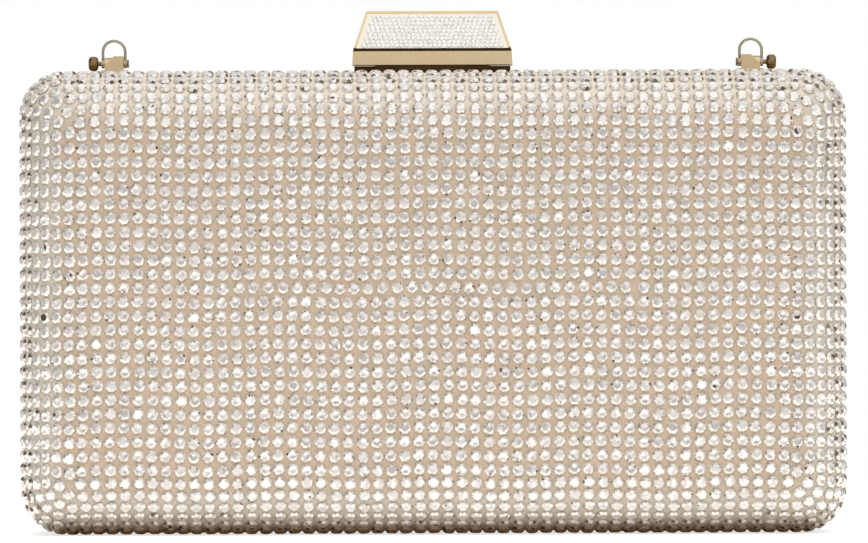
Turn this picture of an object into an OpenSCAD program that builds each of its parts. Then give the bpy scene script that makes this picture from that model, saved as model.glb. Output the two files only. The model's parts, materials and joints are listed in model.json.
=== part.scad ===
// Minaudiere: a hard box clutch. Two crystal covered half shells in metal frames open on two
// knuckle hinges below, and a tilting clasp above holds them shut. Millimetres, Z up, the flat
// front faces -Y, and the origin is under the middle of the body.

/* [Body] */
// Width over the stones
body_w = 176; // [150:1:200]
// Height over the stones
body_h = 98.8; // [85:0.2:120]
// Depth over the stones of both halves
body_d = 50; // [46:0.5:60]
// Corner radius of the outline seen from the front
corner_r = 9.5; // [9:0.1:10.5]
// Corner radius where the flat face starts
face_corner_r = 1.2; // [0.8:0.1:1.6]
// Radius of the roll from the flat face to the sides
roll_r = 14; // [12.5:0.5:15]
// Gap between the two frames when shut
mouth_gap = 0.2; // [0.15:0.01:0.3]

/* [Layers] */
// Thickness of the stone covered fabric
cover_t = 1.5; // [1.5:0.05:1.8]
// Rows of stones from the middle of each face to the mouth
stone_rows = 22; // [18:1:26]
// Height of the rows over the fabric between them
row_h = 0.7; // [0.5:0.05:0.8]
// Width of the flat top of each row
row_top_w = 1.5; // [1.2:0.1:1.8]
// Distance of the last row's middle from the frame's lip
row_edge = 1.35; // [1:0.05:1.5]
// Thickness of the rigid shell
shell_t = 1.6; // [1.3:0.1:1.8]
// Thickness of the lining where the frame backs it
lining_t = 0.9; // [0.7:0.1:1.2]
// Clearance between layers that slip into each other
layer_gap = 0.1; // [0.08:0.01:0.15]
// How far the lining stays back from the mouth
lining_back = 0.6; // [0.5:0.1:1]
// Gap round the fittings that pass through the covers
notch_gap = 0.25; // [0.2:0.01:0.4]

/* [Frame] */
// Depth of the frame's outer lip
lip_d = 2; // [1.9:0.05:2.2]
// Depth of the frame's inner flange
flange_d = 7; // [6:0.5:9]
// Thickness of the frame's inner flange
flange_t = 1.8; // [1.6:0.1:2.2]

/* [Hinge] */
// Distance of each hinge's middle from the side of the body
hinge_inset = 38; // [28:1:56]
// Length of each hinge
hinge_w = 24; // [18:1:30]
// Outer radius of the knuckles
knuckle_r = 1.4; // [1.3:0.01:1.45]
// Radius of the hinge pins
hinge_pin_r = 0.6; // [0.5:0.05:0.7]
// Running clearance round the hinge pins
hinge_fit = 0.05; // [0.02:0.01:0.08]
// Gap between neighbouring knuckles
knuckle_gap = 0.1; // [0.08:0.01:0.2]
// Gap between the knuckles and the frames
knuckle_clear = 0.25; // [0.2:0.01:0.3]
// Thickness of the hinge leaves
leaf_t = 0.7; // [0.6:0.05:0.8]
// Rivets in each leaf
rivet_count = 4; // [2:1:5]
// Shank radius of the rivets
rivet_r = 0.45; // [0.35:0.05:0.5]
// Head radius of the rivets
rivet_head_r = 0.7; // [0.6:0.05:0.75]
// Length of the rivets
rivet_l = 3; // [2.5:0.1:4]
// Distance of the outer rivets from the leaf's ends
rivet_edge = 2; // [1.5:0.1:3]

/* [Clasp] */
// Width of the clasp at its lower edge
clasp_w = 34.2; // [30:0.2:40]
// Width of the clasp at the top of its front strip
clasp_strip_w = 33.8; // [30:0.2:40]
// Width of the clasp at its top
clasp_top_w = 28.2; // [24:0.2:34]
// Depth of the clasp at its foot
clasp_d = 14; // [13.5:0.1:15]
// Depth of the clasp at its top
clasp_top_d = 4; // [3:0.1:6]
// Height of the clasp
clasp_h = 11.6; // [10.5:0.1:14]
// Height of the plain front strip
strip_h = 3.1; // [2.8:0.1:5]
// Gap between the clasp and the stones below it
clasp_lift = 1.1; // [1:0.05:1.4]
// Width of the clasp's hollow
hollow_w = 25; // [23.5:0.1:27]
// Wall of the clasp in front of and behind the hollow
clasp_wall = 1.2; // [1.1:0.05:1.3]
// Height of the clasp's hollow
hollow_h = 4.1; // [3.9:0.05:4.3]
// Width of the bright rim beside and above the paved plate
rim_w = 0.5; // [0.4:0.05:1]
// Height of the groove between the front strip and the paved plate
groove_h = 0.5; // [0.4:0.05:0.6]
// Depth of that groove
groove_d = 0.7; // [0.5:0.05:0.7]
// Depth of the seat of the paved plate
plate_seat = 0.45; // [0.4:0.01:0.5]
// Thickness of the paved plate
plate_t = 0.3; // [0.25:0.01:0.4]

/* [Clasp Mechanism] */
// Distance of the clasp pin behind the mouth
clasp_pin_y = 4; // [3.8:0.05:4.2]
// Height of the clasp pin over its bracket's base
clasp_pin_lift = 3; // [2.9:0.05:3.1]
// Radius of the clasp pin
clasp_pin_r = 0.75; // [0.65:0.05:0.8]
// Running clearance round the clasp pin
clasp_fit = 0.05; // [0.02:0.01:0.08]
// How far the clasp pin reaches into each end of the clasp
clasp_pin_seat = 2; // [1.5:0.1:2.5]
// Thickness of the bracket's base
bracket_t = 1; // [0.8:0.05:1.1]
// Width of the bracket's base
bracket_w = 33.4; // [30:0.1:33.6]
// Depth of the bracket's base
bracket_d = 7; // [6.5:0.1:7.2]
// Depth of the rests at the bracket's ends
rest_d = 3; // [2:0.1:3.2]
// Gap between the rests and the clasp
rest_gap = 0.15; // [0.1:0.01:0.2]
// Distance between the outer sides of the ears
ear_span = 20.4; // [18:0.2:22]
// Thickness of each ear
ear_t = 1.2; // [1:0.05:1.5]
// Radius of the ears round the pin
ear_r = 1.5; // [1.4:0.05:1.55]
// Radius of the spring's wire
spring_wire_r = 0.3; // [0.25:0.01:0.32]
// Turns of the spring
spring_turns = 10; // [6:1:12]
// Gap between the spring and what it touches
spring_gap = 0.05; // [0.03:0.01:0.08]
// How far the spring's lower leg reaches forward of the pin
spring_reach = 3; // [2.5:0.1:3.3]
// Width of the latch hook
hook_w = 16; // [12:0.5:18]
// Thickness of the latch hook
hook_t = 0.8; // [0.7:0.05:0.9]
// Distance of the hook's holding face in front of the mouth
hook_y = 4.4; // [4.2:0.05:4.6]
// Length of the hook's seat under the clasp
hook_seat = 3.2; // [3:0.1:3.6]
// Gap between the hook's tip and the shell
hook_lift = 0.5; // [0.4:0.05:0.6]
// Gap between the hook and the catch
latch_gap = 0.15; // [0.1:0.01:0.2]
// Width of the catch plate
catch_w = 24; // [18:0.5:24]
// Thickness of the catch plate
catch_t = 0.8; // [0.7:0.05:0.9]
// Height of the catch's lip over its plate
catch_lip_h = 1.9; // [1.7:0.05:1.95]
// Thickness of the catch's lip at its top
catch_lip_t = 0.5; // [0.4:0.05:0.7]
// Thickness of the catch's lip at its foot
catch_foot_t = 1.2; // [1:0.05:1.4]
// Distance of the screws from the middle
screw_x = 6; // [5:0.1:6.8]
// Shank radius of the screws
screw_r = 0.45; // [0.4:0.05:0.5]
// Head radius of the screws
screw_head_r = 0.7; // [0.6:0.05:0.75]
// Head height of the screws
screw_head_h = 0.4; // [0.3:0.05:0.45]
// Length of the screws below their heads
screw_l = 2.6; // [2.2:0.1:3]

/* [Chain Fittings] */
// Distance of each lug's middle from the side of the body
lug_inset = 19.85; // [15:0.05:35]
// Width of the lugs
lug_w = 4; // [3.5:0.1:4.2]
// Depth of the lugs
lug_d = 3; // [2.8:0.1:3.2]
// Height of the lugs over the frame
lug_h = 4.8; // [4.6:0.1:5.2]
// Height of each lug's sloping edge at its outer end
lug_out_h = 2.8; // [2:0.1:3.2]
// Width of the lugs' base plates
lug_base_w = 5.6; // [5:0.1:6]
// Thickness of the lugs' base plates
lug_base_t = 1.8; // [1.4:0.1:2]
// Height of the ring's axis over the frame
lug_pivot_h = 3.2; // [3:0.05:3.6]
// Radius of the lug's barrel at its inner end
barrel_in_r = 1.45; // [1.35:0.05:1.45]
// Radius of the lug's barrel at its outer end
barrel_out_r = 1.3; // [1.2:0.05:1.35]
// Radius of the lug pins
lug_pin_r = 0.5; // [0.4:0.05:0.6]
// Running clearance round the lug pins
ring_fit = 0.06; // [0.03:0.01:0.09]
// Length of each lug pin's neck between the ring and the knob
knob_neck = 0.6; // [0.4:0.05:0.8]
// Radius of the knob on each lug pin
knob_r = 1.55; // [1.5:0.01:1.6]
// Width of the knobs
knob_w = 2.1; // [1.9:0.1:2.6]
// Radius of the knobs' rounded edges
knob_edge_r = 0.75; // [0.5:0.05:0.75]
// Radius of the inner head of each lug pin
pin_head_r = 0.85; // [0.75:0.05:1.1]
// Thickness of the inner head of each lug pin
pin_head_t = 0.4; // [0.3:0.05:0.9]
// Wire radius of the chain rings
ring_wire_r = 0.3; // [0.28:0.01:0.45]
// Outer radius of the rings' eyes
ring_eye_r = 0.95; // [0.85:0.05:1.1]
// Height of the rings' straight legs over their axis
ring_leg_h = 2.5; // [2.4:0.1:4]
// Gap at each side of the rings' eyes
ring_gap = 0.08; // [0.06:0.01:0.15]

/* [Hidden] */
$fn = 64;
// Overrun of cuts
over = 0.5;
// Steps of each rounded corner of the shells, and of each roll
corner_steps = 7;
roll_steps = 7;
soft_steps = 5;
// How much smaller a corner gets as its outline moves in
corner_share = 0.62;
// Largest corner radius of an outline against half its height
tip_share = 0.8;
// How far the ears reach behind the pin, below it
ear_back_share = 0.8;
// How high the hook's tip is bevelled, against its thickness
hook_bevel_share = 0.9;

mouth_y = mouth_gap / 2;
mid_z = body_h / 2;
roll_y = body_d / 2 - roll_r;
roll_l = PI * roll_r / 2;
face_l = body_h / 2 - roll_r;
row_pitch = (face_l + roll_l + roll_y - lip_d - row_edge) / stone_rows;
shell_in = cover_t + shell_t;
flange_out = shell_in + layer_gap;
flange_in = flange_out + flange_t;
lining_out = flange_in + layer_gap;
lining_in = lining_out + lining_t;
top_z = body_h - cover_t;

hinge_x = body_w / 2 - hinge_inset;
hinge_z = cover_t;
plate_z = hinge_z + knuckle_r + knuckle_clear;
rivet_z = (plate_z + flange_in) / 2;
knuckle_pitch = (hinge_w + knuckle_gap) / 3;
knuckle_w = knuckle_pitch - knuckle_gap;

clasp_z = body_h + clasp_lift;
facet_lean = atan2((clasp_d - clasp_top_d) / 2, clasp_h - strip_h);
facet_l = (clasp_h - strip_h) / cos(facet_lean);
facet_slope = (clasp_strip_w - clasp_top_w) / 2 / facet_l;
seat_up = groove_h / cos(facet_lean);
hollow_z = clasp_z + hollow_h;
bracket_z = top_z + bracket_t;
clasp_pin_z = bracket_z + clasp_pin_lift;
clasp_pin_l = hollow_w + clasp_pin_seat * 2;
spring_r = clasp_pin_r + spring_gap + spring_wire_r;
spring_l = spring_turns * spring_wire_r * 2;
catch_y = hook_y - latch_gap;
catch_z = top_z + catch_t;
screw_y = mouth_y + (lip_d - mouth_y) / 2;
notch_front = hook_y + hook_t + clasp_wall;

lug_x = body_w / 2 - lug_inset;
lug_y = mouth_y + layer_gap + lug_d / 2;
pivot_z = top_z + lug_pivot_h;
eye_w = ring_wire_r * 2;
eye_x = lug_w / 2 + ring_gap + ring_wire_r;
head_x = eye_x + ring_wire_r + ring_gap;
knob_x = head_x + knob_neck;

gold = [0.79, 0.66, 0.45];
stone = [0.86, 0.81, 0.75];
board = [0.72, 0.64, 0.52];
satin = [0.76, 0.68, 0.58];
steel = [0.7, 0.7, 0.72];

// Corner radius of the outline at an inset from the stones
function corner_at(inset) = min(
    max(corner_r - corner_share * inset, face_corner_r),
    (body_h / 2 - inset) * tip_share
);

// The outline at [inset, depth behind the mouth plane], as a loop of points
function loop_at(spot) = let (
        r = corner_at(spot[0]),
        half_w = body_w / 2 - spot[0] - r,
        half_h = body_h / 2 - spot[0] - r
    ) [
        for (corner = [0:3], step = [0:corner_steps])
            let (
                turn = 90 * (corner + step / corner_steps),
                side = corner == 0 || corner == 3 ? 1 : -1,
                up = corner < 2 ? 1 : -1
            )
            [side * half_w + r * cos(turn), spot[1], mid_z + up * half_h + r * sin(turn)]
    ];

// [inset, depth] pairs of the roll of a layer, from the flat face to the side
function roll(inset, steps) = [
    for (step = [0:steps])
        let (turn = 90 * step / steps, r = roll_r - inset)
        [roll_r - r * sin(turn), roll_y + r * cos(turn)]
];

// [inset, depth] on the stones, or sunk below their tops, so far past where the roll starts
function on_cover(run, sunk) = let (turn = 180 * run / (PI * roll_r), r = roll_r - sunk)
    run < 0 ? [roll_r - run, body_d / 2 - sunk] :
    run < roll_l ? [roll_r - r * sin(turn), roll_y + r * cos(turn)] :
    [sunk, roll_y + roll_l - run];

// [inset, depth] pairs of the rows of stones, with a groove before each row but the first
function stone_rings() = [
    for (row = [0:stone_rows])
        let (run = row * row_pitch - face_l)
        each [
            if (row > 0) on_cover(run - row_pitch / 2, row_h),
            if (row > 0) on_cover(run - row_top_w / 2, 0),
            if (row < stone_rows) on_cover(run + row_top_w / 2, 0)
        ]
];

function reversed(list) = [for (i = [len(list) - 1:-1:0]) list[i]];

// A tray of the rear half: [inset, depth] pairs from its outer face round the rim to its inner face
module tray(profile) {
    size = 4 * (corner_steps + 1);
    rings = len(profile);
    walls = [
        for (ring = [0:rings - 2], i = [0:size - 1])
            let (
                next = (i + 1) % size,
                a = (ring + 1) * size + i,
                b = (ring + 1) * size + next,
                c = ring * size + next,
                d = ring * size + i
            )
            each [[a, b, c], [a, c, d]]
    ];
    outer_face = [for (i = [0:size - 1]) i];
    inner_face = [for (i = [size - 1:-1:0]) (rings - 1) * size + i];
    polyhedron(
        points = [for (spot = profile) each loop_at(spot)],
        faces = concat([outer_face], walls, [inner_face])
    );
}

// The outline as a flat shape, X across and Y up
module outline(inset) {
    r = corner_at(inset);
    w = body_w - inset * 2;
    h = body_h - inset * 2;
    translate([0, mid_z]) {
        square([w - r * 2, h], center = true);
        square([w, h - r * 2], center = true);
        for (side = [-1, 1], up = [-1, 1])
            translate([side * (w / 2 - r), up * (h / 2 - r)])
                circle(r = r);
    }
}

// A ring between two insets, from one depth to another
module frame_ring(inset_out, inset_in, from_y, to_y) {
    translate([0, to_y, 0])
        rotate([90, 0, 0])
            linear_extrude(height = to_y - from_y)
                difference() {
                    outline(inset_out);
                    outline(inset_in);
                }
}

// A shape drawn in Y and Z, drawn out along X about the middle
module along_x(width) {
    translate([-width / 2, 0, 0])
        rotate([90, 0, 90])
            linear_extrude(height = width)
                children();
}

// A round bar along X about the middle
module bar(r, width) {
    rotate([0, 90, 0])
        cylinder(r = r, h = width, center = true);
}

// Front pieces are built as rear ones and mirrored
module to_front() {
    mirror([0, 1, 0])
        children();
}

// Left pieces are built as right ones and mirrored
module to_left() {
    mirror([1, 0, 0])
        children();
}

// Each row of stones is one flat-topped ridge round the face
module crystal_cover() {
    tray(concat(
        stone_rings(),
        [[0, lip_d], [cover_t, lip_d]],
        reversed(roll(cover_t, roll_steps))
    ));
}

module shell() {
    color(board)
        tray(concat(
            roll(cover_t, roll_steps),
            [[cover_t, lip_d], [shell_in, lip_d]],
            reversed(roll(shell_in, roll_steps))
        ));
}

module lining() {
    color(satin)
        tray(concat(
            roll(flange_out, soft_steps),
            [
                [flange_out, flange_d + layer_gap],
                [lining_out, flange_d + layer_gap],
                [lining_out, lining_back],
                [lining_in, lining_back]
            ],
            reversed(roll(lining_in, soft_steps))
        ));
}

module at_hinge(side) {
    translate([side * hinge_x, 0, hinge_z])
        children();
}

// Places of the rivets along a leaf
module at_rivets() {
    span = hinge_w - rivet_edge * 2;
    for (i = [0:rivet_count - 1])
        translate([span * (i / (rivet_count - 1) - 0.5), mouth_y, rivet_z - hinge_z])
            rotate([-90, 0, 0])
                children();
}

module rivet() {
    cylinder(r1 = rivet_head_r, r2 = rivet_r, h = leaf_t);
    cylinder(r = rivet_r, h = rivet_l);
}

// What the frames leave out for one hinge
module hinge_recess() {
    gap = layer_gap * 2;
    bar(knuckle_r + knuckle_clear, hinge_w + gap);
    translate([-(hinge_w + gap) / 2, -over, 0])
        cube([hinge_w + gap, over + mouth_y + leaf_t, flange_in - hinge_z + over]);
    at_rivets()
        cylinder(r = rivet_r, h = rivet_l);
}

module screw() {
    cylinder(r = screw_head_r, h = screw_head_h);
    translate([0, 0, -screw_l])
        cylinder(r = screw_r, h = screw_l);
}

module at_top_screws(z) {
    for (side = [-1, 1])
        translate([side * screw_x, screw_y, z])
            children();
}

module screw_holes() {
    translate([0, 0, -screw_l])
        cylinder(r = screw_r, h = screw_l + over);
}

// Frame of the rear half, with holes for screws through a plate of this thickness
module frame(plate_t) {
    color(gold)
        difference() {
            union() {
                frame_ring(cover_t, flange_in, mouth_y, lip_d);
                frame_ring(flange_out, flange_in, mouth_y, flange_d);
            }
            for (side = [-1, 1])
                at_hinge(side)
                    hinge_recess();
            at_top_screws(top_z + plate_t)
                screw_holes();
        }
}

// A knuckle and the web that joins it to the leaf, in Y and Z about the hinge's axis
module knuckle_shape(bore_r) {
    difference() {
        union() {
            circle(r = knuckle_r);
            translate([mouth_y, 0])
                square([leaf_t, flange_in - hinge_z]);
        }
        circle(r = bore_r);
    }
}

// A leaf of the rear half with knuckles at these places, counted in pitches from the middle
module hinge_leaf(spots, bore_r) {
    color(gold)
        difference() {
            union() {
                translate([-hinge_w / 2, mouth_y, plate_z - hinge_z])
                    cube([hinge_w, leaf_t, flange_in - plate_z]);
                for (spot = spots)
                    translate([spot * knuckle_pitch, 0, 0])
                        along_x(knuckle_w)
                            knuckle_shape(bore_r);
            }
            at_rivets()
                rivet();
        }
}

module rear_leaf(side) {
    at_hinge(side)
        hinge_leaf([-1, 1], hinge_pin_r);
}

module front_leaf(side) {
    to_front()
        at_hinge(side)
            hinge_leaf([0], hinge_pin_r + hinge_fit);
}

module hinge_pin(side) {
    color(steel)
        at_hinge(side)
            bar(hinge_pin_r, hinge_w);
}

module hinge_rivets() {
    color(steel)
        for (side = [-1, 1])
            at_hinge(side)
                at_rivets()
                    rivet();
}

// Room in a cover for a plate of this width under the clasp
module clasp_notch(plate_w, depth) {
    w = plate_w + notch_gap * 2;
    translate([-w / 2, 0, top_z])
        cube([w, depth, cover_t + over]);
}

module lug_notches() {
    w = lug_base_w + notch_gap * 2;
    for (side = [-1, 1])
        translate([side * lug_x - w / 2, 0, top_z])
            cube([w, lug_y + lug_d / 2 + notch_gap, cover_t + over]);
}

module rear_crystal_cover() {
    color(stone)
        difference() {
            crystal_cover();
            clasp_notch(bracket_w, mouth_y + layer_gap + bracket_d + notch_gap);
            lug_notches();
        }
}

module front_crystal_cover() {
    color(stone)
        to_front()
            difference() {
                crystal_cover();
                clasp_notch(catch_w, notch_front);
            }
}

module at_clasp_pin() {
    translate([0, clasp_pin_y, clasp_pin_z])
        children();
}

// One ear in Y and Z, about the pin
module ear_shape() {
    circle(r = ear_r);
    translate([-ear_r, -clasp_pin_lift])
        square([ear_r * (1 + ear_back_share), clasp_pin_lift]);
}

// A block that fills the gap under one end of the clasp
module clasp_rest(w) {
    translate([-w / 2, 0, 0])
        cube([w, rest_d, clasp_z - rest_gap - top_z]);
}

// A base plate with an ear and a rest at each side
module clasp_bracket() {
    color(gold)
        difference() {
            union() {
                translate([-bracket_w / 2, mouth_y + layer_gap, top_z])
                    cube([bracket_w, bracket_d, bracket_t]);
                for (side = [-1, 1]) {
                    translate([side * (ear_span - ear_t) / 2, 0, 0])
                        at_clasp_pin()
                            along_x(ear_t)
                                ear_shape();
                    translate([side * (bracket_w + ear_span) / 4, mouth_y + layer_gap, top_z])
                        clasp_rest((bracket_w - ear_span) / 2);
                }
            }
            at_clasp_pin()
                bar(clasp_pin_r + clasp_fit, ear_span + over);
            at_top_screws(bracket_z)
                screw_holes();
        }
}

module bracket_screws() {
    color(steel)
        at_top_screws(bracket_z)
            screw();
}

module clasp_pin() {
    color(steel)
        at_clasp_pin()
            bar(clasp_pin_r, clasp_pin_l);
}

// A straight leg of the spring in the plane across the pin, from one [y, z] to another
module spring_leg(x, start, end) {
    away = end - start;
    translate([x, start[0], start[1]])
        rotate([-atan2(away[0], away[1]), 0, 0])
            cylinder(r = spring_wire_r, h = norm(away));
}

// Wound round the clasp pin: one leg bears on the bracket, the other lifts the clasp's back
module clasp_spring() {
    end_x = spring_l / 2 - spring_wire_r;
    base_z = -clasp_pin_lift + spring_wire_r;
    roof_z = hollow_z - clasp_pin_z - spring_wire_r - spring_gap;
    back_y = clasp_d / 2 - clasp_wall - clasp_pin_y - spring_wire_r - spring_gap;
    color(steel)
        at_clasp_pin() {
            translate([-spring_l / 2, 0, 0])
                rotate([0, 90, 0])
                    rotate_extrude()
                        for (i = [0:spring_turns - 1])
                            translate([spring_r, spring_wire_r * (i * 2 + 1)])
                                circle(r = spring_wire_r + spring_gap / 2);
            spring_leg(-end_x, [0, -spring_r], [-spring_reach, base_z + spring_gap]);
            spring_leg(end_x, [0, spring_r], [back_y - spring_wire_r, roof_z]);
        }
}

// The clasp seen from the front, X across and Y up
module clasp_front() {
    polygon([
        [-clasp_w / 2, 0],
        [clasp_w / 2, 0],
        [clasp_strip_w / 2, strip_h],
        [clasp_top_w / 2, clasp_h],
        [-clasp_top_w / 2, clasp_h],
        [-clasp_strip_w / 2, strip_h]
    ]);
}

// The clasp seen from its end, Y across and Z up
module clasp_end() {
    polygon([
        [-clasp_d / 2, 0],
        [clasp_d / 2, 0],
        [clasp_d / 2, strip_h],
        [clasp_top_d / 2, clasp_h],
        [-clasp_top_d / 2, clasp_h],
        [-clasp_d / 2, strip_h]
    ]);
}

// Half the width of the leaning facet inside its rim, at a height up the slope
function plate_half(up) = clasp_strip_w / 2 - facet_slope * up - rim_w;

// The outline of the paved plate or its seat in the plane of the leaning facet, from a height up
module plate_shape(low) {
    high = facet_l - rim_w;
    polygon([
        [-plate_half(low), low],
        [plate_half(low), low],
        [plate_half(high), high],
        [-plate_half(high), high]
    ]);
}

// On the leaning facet: X across, Y up the slope, Z out of it
module on_facet() {
    translate([0, -clasp_d / 2, clasp_z + strip_h])
        rotate([90 - facet_lean, 0, 0])
            children();
}

module at_hook_screws() {
    for (side = [-1, 1])
        translate([side * screw_x, hook_seat / 2 - hook_y, hollow_z - hook_t])
            rotate([180, 0, 0])
                children();
}

module clasp_body() {
    color(gold)
        difference() {
            translate([0, 0, clasp_z])
                intersection() {
                    translate([0, clasp_d / 2, 0])
                        rotate([90, 0, 0])
                            linear_extrude(height = clasp_d)
                                clasp_front();
                    along_x(clasp_w)
                        clasp_end();
                }
            translate([-hollow_w / 2, clasp_wall - clasp_d / 2, clasp_z - over])
                cube([hollow_w, clasp_d - clasp_wall * 2, hollow_h + over]);
            on_facet()
                translate([0, 0, -plate_seat])
                    linear_extrude(height = plate_seat + over)
                        plate_shape(seat_up);
            translate([-plate_half(0), -clasp_d / 2 - over, clasp_z + strip_h])
                cube([plate_half(0) * 2, groove_d + over, groove_h]);
            at_clasp_pin()
                bar(clasp_pin_r, clasp_pin_l);
            at_hook_screws()
                screw_holes();
        }
}

module clasp_plate() {
    color(stone)
        on_facet()
            translate([0, 0, -plate_seat])
                linear_extrude(height = plate_t)
                    plate_shape(seat_up);
}

// Screwed up under the clasp, its tip goes down in front of the catch's lip
module latch_hook() {
    tip_z = top_z + hook_lift;
    bevel = hook_t * hook_bevel_share;
    color(gold)
        difference() {
            along_x(hook_w)
                polygon([
                    [-hook_y, tip_z],
                    [-hook_y, hollow_z - hook_t],
                    [hook_seat - hook_y, hollow_z - hook_t],
                    [hook_seat - hook_y, hollow_z],
                    [-hook_y - hook_t, hollow_z],
                    [-hook_y - hook_t, tip_z + bevel],
                    [-hook_y - hook_t + bevel, tip_z]
                ]);
            at_hook_screws()
                screw_holes();
        }
}

module hook_screws() {
    color(steel)
        at_hook_screws()
            screw();
}

// A plate with a lip that leans away behind, so that shutting lifts the hook
module catch_plate() {
    color(gold)
        difference() {
            along_x(catch_w)
                polygon([
                    [-mouth_y - layer_gap, top_z],
                    [-mouth_y - layer_gap, catch_z],
                    [-catch_y + catch_foot_t, catch_z],
                    [-catch_y + catch_lip_t, catch_z + catch_lip_h],
                    [-catch_y, catch_z + catch_lip_h],
                    [-catch_y, top_z]
                ]);
            to_front()
                at_top_screws(catch_z)
                    screw_holes();
        }
}

module catch_screws() {
    color(steel)
        to_front()
            at_top_screws(catch_z)
                screw();
}

module at_lug(side = 1) {
    translate([side * lug_x, lug_y, pivot_z])
        children();
}

// The block seen from the front, outboard to the right
module lug_shape() {
    polygon([
        [-lug_w / 2, 0],
        [lug_w / 2, 0],
        [lug_w / 2, lug_out_h],
        [0, lug_h],
        [-lug_w / 2, lug_h]
    ]);
}

// Base plate, flat-fronted block that slopes down outboard, and a tapered barrel
module chain_lug() {
    color(gold)
        at_lug()
            difference() {
                union() {
                    translate([-lug_base_w / 2, -lug_d / 2, -lug_pivot_h])
                        cube([lug_base_w, lug_d, lug_base_t]);
                    translate([0, lug_d / 2, -lug_pivot_h])
                        rotate([90, 0, 0])
                            linear_extrude(height = lug_d)
                                lug_shape();
                    rotate([0, 90, 0])
                        cylinder(r1 = barrel_in_r, r2 = barrel_out_r, h = lug_w, center = true);
                }
                bar(lug_pin_r, lug_w + over);
            }
}

// Half the knob's section, its axis along Y
module knob_shape() {
    square([knob_r - knob_edge_r, knob_w]);
    translate([0, knob_edge_r])
        square([knob_r, knob_w - knob_edge_r * 2]);
    for (y = [knob_edge_r, knob_w - knob_edge_r])
        translate([knob_r - knob_edge_r, y])
            circle(r = knob_edge_r);
}

// A pin with a flat head inboard and a round knob outboard
module lug_pin() {
    color(gold)
        at_lug()
            rotate([0, 90, 0]) {
                translate([0, 0, -head_x])
                    cylinder(r = lug_pin_r, h = head_x + knob_x);
                translate([0, 0, -head_x - pin_head_t])
                    cylinder(r = pin_head_r, h = pin_head_t);
                translate([0, 0, knob_x])
                    rotate_extrude()
                        knob_shape();
            }
}

// A wire bow with an eye on the pin at each side of the lug
module chain_ring(side) {
    color(gold)
        at_lug(side) {
            difference() {
                for (end = [-1, 1])
                    translate([end * eye_x, 0, 0]) {
                        bar(ring_eye_r, eye_w);
                        cylinder(r = ring_wire_r, h = ring_leg_h);
                    }
                bar(lug_pin_r + ring_fit, (eye_x + eye_w) * 2);
            }
            translate([0, 0, ring_leg_h])
                rotate([90, 0, 0])
                    rotate_extrude(angle = 180)
                        translate([eye_x, 0])
                            circle(r = ring_wire_r);
        }
}

shell();  // rear_shell
rear_crystal_cover();
frame(bracket_t);  // rear_frame
lining();  // rear_lining
rear_leaf(-1);  // left_rear_hinge_leaf
rear_leaf(1);  // right_rear_hinge_leaf
hinge_pin(-1);  // left_hinge_pin
hinge_pin(1);  // right_hinge_pin
hinge_rivets();  // rear_hinge_rivets
clasp_bracket();
bracket_screws();
clasp_spring();
to_left() chain_lug();  // left_chain_lug
chain_lug();  // right_chain_lug
to_left() lug_pin();  // left_lug_pin
lug_pin();  // right_lug_pin
to_front() shell();  // front_shell
front_crystal_cover();
to_front() frame(catch_t);  // front_frame
to_front() lining();  // front_lining
front_leaf(-1);  // left_front_hinge_leaf
front_leaf(1);  // right_front_hinge_leaf
to_front() hinge_rivets();  // front_hinge_rivets
catch_plate();
catch_screws();
clasp_body();
clasp_plate();
latch_hook();
hook_screws();
clasp_pin();
chain_ring(-1);  // left_chain_ring
chain_ring(1);  // right_chain_ring
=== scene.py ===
import json
import math
import random

import bpy
from mathutils import Matrix, Vector

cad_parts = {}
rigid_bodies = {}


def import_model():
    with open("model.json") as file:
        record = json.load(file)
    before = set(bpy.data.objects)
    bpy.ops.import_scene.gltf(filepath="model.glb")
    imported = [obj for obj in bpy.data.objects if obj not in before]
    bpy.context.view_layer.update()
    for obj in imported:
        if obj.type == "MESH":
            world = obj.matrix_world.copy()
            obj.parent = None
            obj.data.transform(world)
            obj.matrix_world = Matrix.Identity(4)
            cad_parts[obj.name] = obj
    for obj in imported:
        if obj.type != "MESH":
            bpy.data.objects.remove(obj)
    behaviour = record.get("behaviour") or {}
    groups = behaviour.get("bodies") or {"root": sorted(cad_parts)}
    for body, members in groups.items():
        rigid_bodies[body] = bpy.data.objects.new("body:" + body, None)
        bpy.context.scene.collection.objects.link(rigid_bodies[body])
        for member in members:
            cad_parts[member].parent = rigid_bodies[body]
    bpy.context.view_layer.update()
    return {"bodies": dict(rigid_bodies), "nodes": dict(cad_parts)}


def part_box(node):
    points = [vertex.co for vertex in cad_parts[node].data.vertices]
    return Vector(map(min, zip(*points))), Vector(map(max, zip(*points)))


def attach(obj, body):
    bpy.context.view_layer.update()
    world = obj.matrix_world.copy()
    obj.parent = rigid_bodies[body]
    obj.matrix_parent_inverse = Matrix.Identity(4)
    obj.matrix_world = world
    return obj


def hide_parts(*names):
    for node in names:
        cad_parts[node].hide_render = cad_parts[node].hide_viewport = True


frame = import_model()
mm = 0.001
print("frame loaded")


# The one way that nodes are made, and shader maths in plain Python

class Wire:
    # A socket that takes part in Python arithmetic

    def __init__(self, finish, socket):
        self.finish, self.socket = finish, socket

    def __add__(self, other):
        return self.finish.maths("ADD", self, other)

    def __radd__(self, other):
        return self.finish.maths("ADD", other, self)

    def __sub__(self, other):
        return self.finish.maths("SUBTRACT", self, other)

    def __rsub__(self, other):
        return self.finish.maths("SUBTRACT", other, self)

    def __mul__(self, other):
        return self.finish.maths("MULTIPLY", self, other)

    def __rmul__(self, other):
        return self.finish.maths("MULTIPLY", other, self)

    def __truediv__(self, other):
        return self.finish.maths("DIVIDE", self, other)

    def __rtruediv__(self, other):
        return self.finish.maths("DIVIDE", other, self)


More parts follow.
